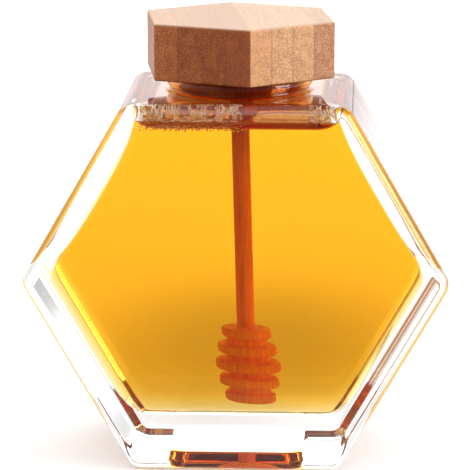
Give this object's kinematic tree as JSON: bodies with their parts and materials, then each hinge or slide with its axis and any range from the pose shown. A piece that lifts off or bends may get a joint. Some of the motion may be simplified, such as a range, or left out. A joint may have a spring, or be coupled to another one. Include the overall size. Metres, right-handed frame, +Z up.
{
  "type": "glass honey pot",
  "caption": "Hexagonal thick glass honey pot with a bamboo lid, filled with honey round a hanging wooden dipper.",
  "frame": {"origin": "centre of the footprint, on the surface the pot stands on", "axes": "+Z up through the lid; the flat front face looks along -Y and the side corners point along -X and +X"},
  "size_m": [0.1218, 0.064, 0.1279],
  "materials": {
    "glass": "clear polished",
    "honey": "clear amber liquid",
    "dipper_wood": "turned, soaked in honey",
    "stopper_wood": "dark, satin",
    "bamboo": "laminated, satin"
  },
  "bodies": {
    "root": {"glass_jar": "glass", "honey": "honey", "dipper": "dipper_wood", "stopper": "stopper_wood", "lid": "bamboo"}
  },
  "joints": []
}
